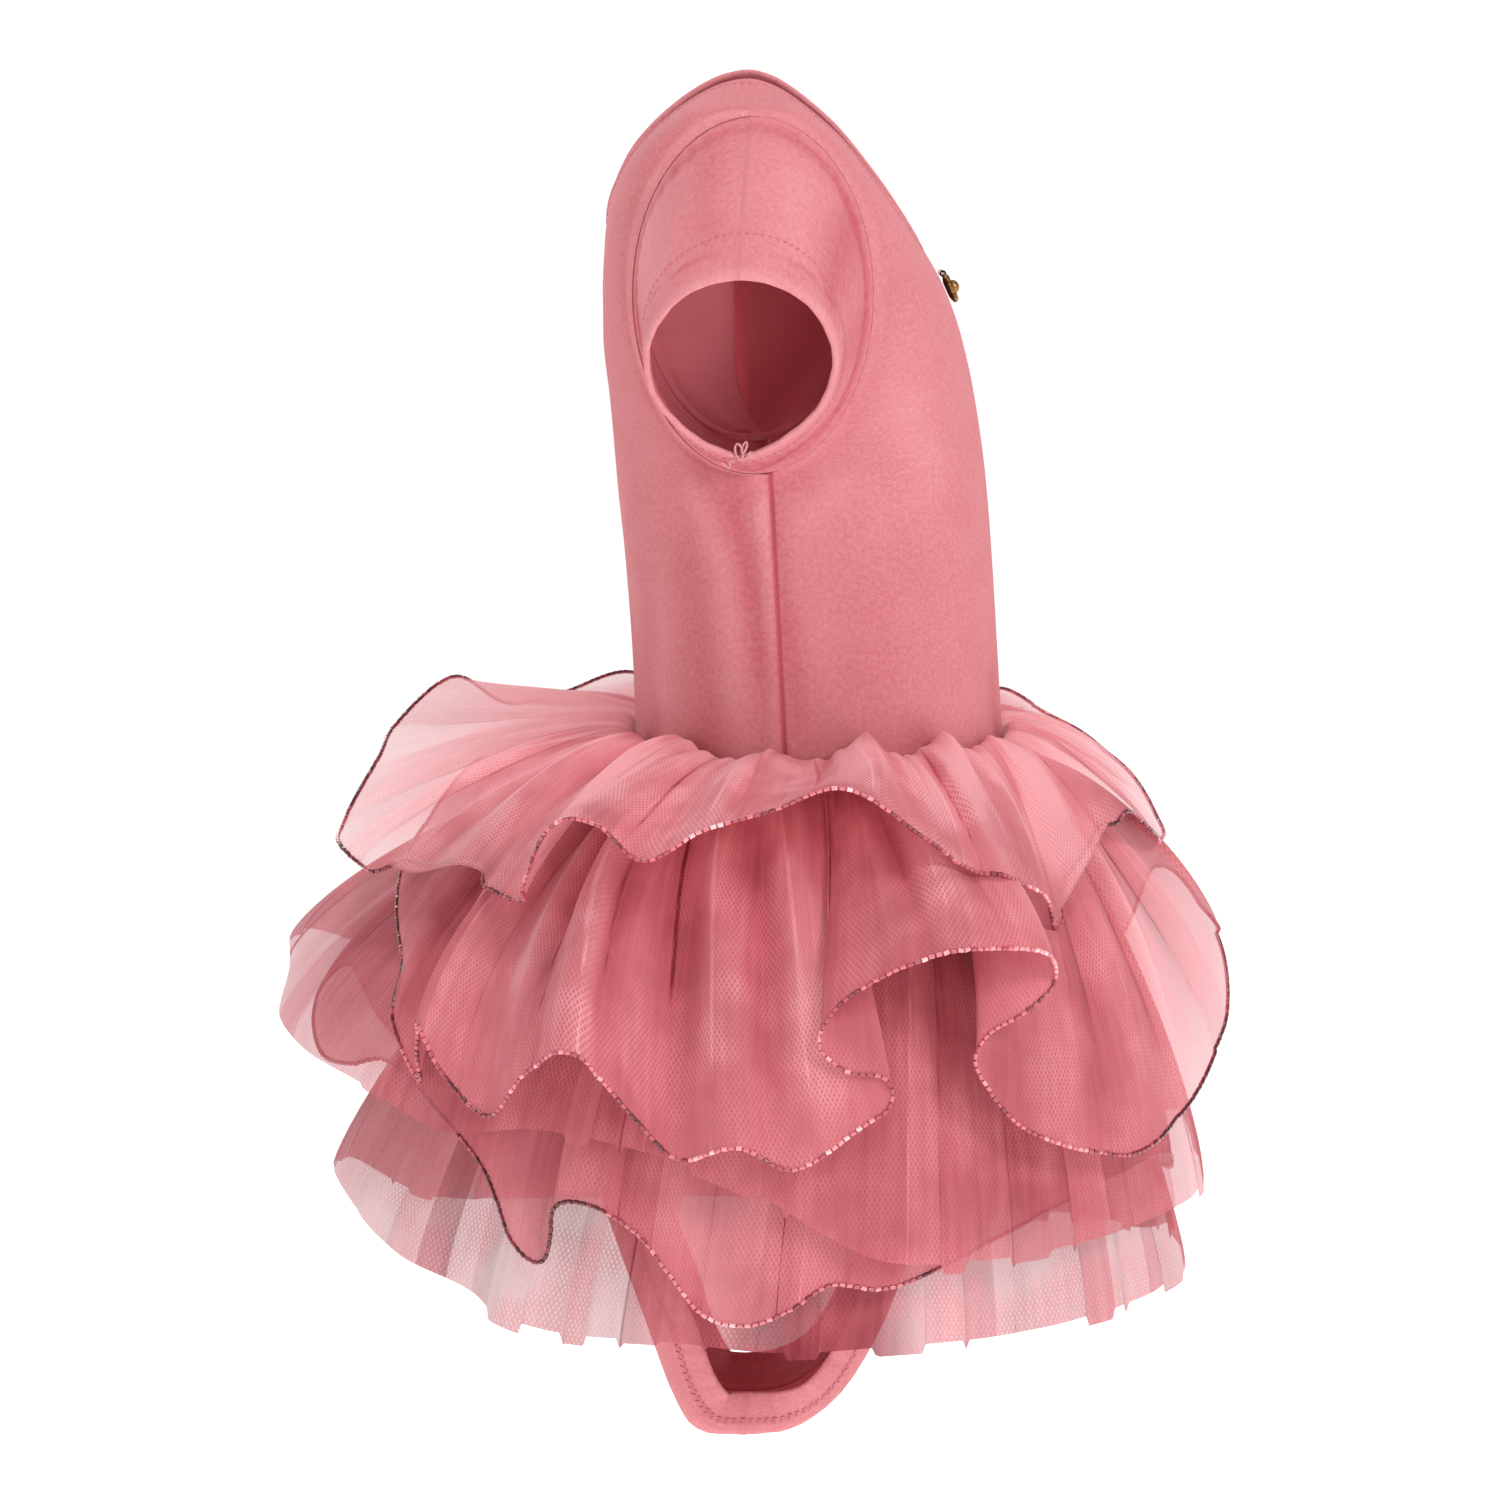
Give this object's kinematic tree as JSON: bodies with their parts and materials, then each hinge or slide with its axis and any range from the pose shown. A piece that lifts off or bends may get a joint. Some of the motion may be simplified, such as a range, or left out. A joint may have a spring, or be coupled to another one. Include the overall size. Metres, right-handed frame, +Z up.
{
  "type": "ballet tutu",
  "caption": "Child's short-sleeved jersey leotard with a gathered tulle skirt in wavy tiers with beaded hems, filled out as worn.",
  "frame": {"origin": "midway between the two points where the shoulder seams meet the neckline, where the wearer's shoulders hold the garment up", "axes": "+Z up, the chest faces -Y, +X is the wearer's left"},
  "size_m": [0.3658, 0.3362, 0.4784],
  "materials": {
    "jersey": "matte knit",
    "tulle": "sheer net",
    "charm": "antique"
  },
  "bodies": {
    "root": {"front": "jersey", "back": "jersey", "sleeve_left": "jersey", "sleeve_right": "jersey", "neck_band": "jersey", "leg_band_left": "jersey", "leg_band_right": "jersey", "tulle_tier_1_beaded": "tulle", "tulle_tier_2_beaded": "tulle", "tulle_tier_3_plain": "tulle", "tulle_tier_4_beaded": "tulle", "tulle_tier_5_plain": "tulle", "charm": "charm"}
  },
  "joints": []
}
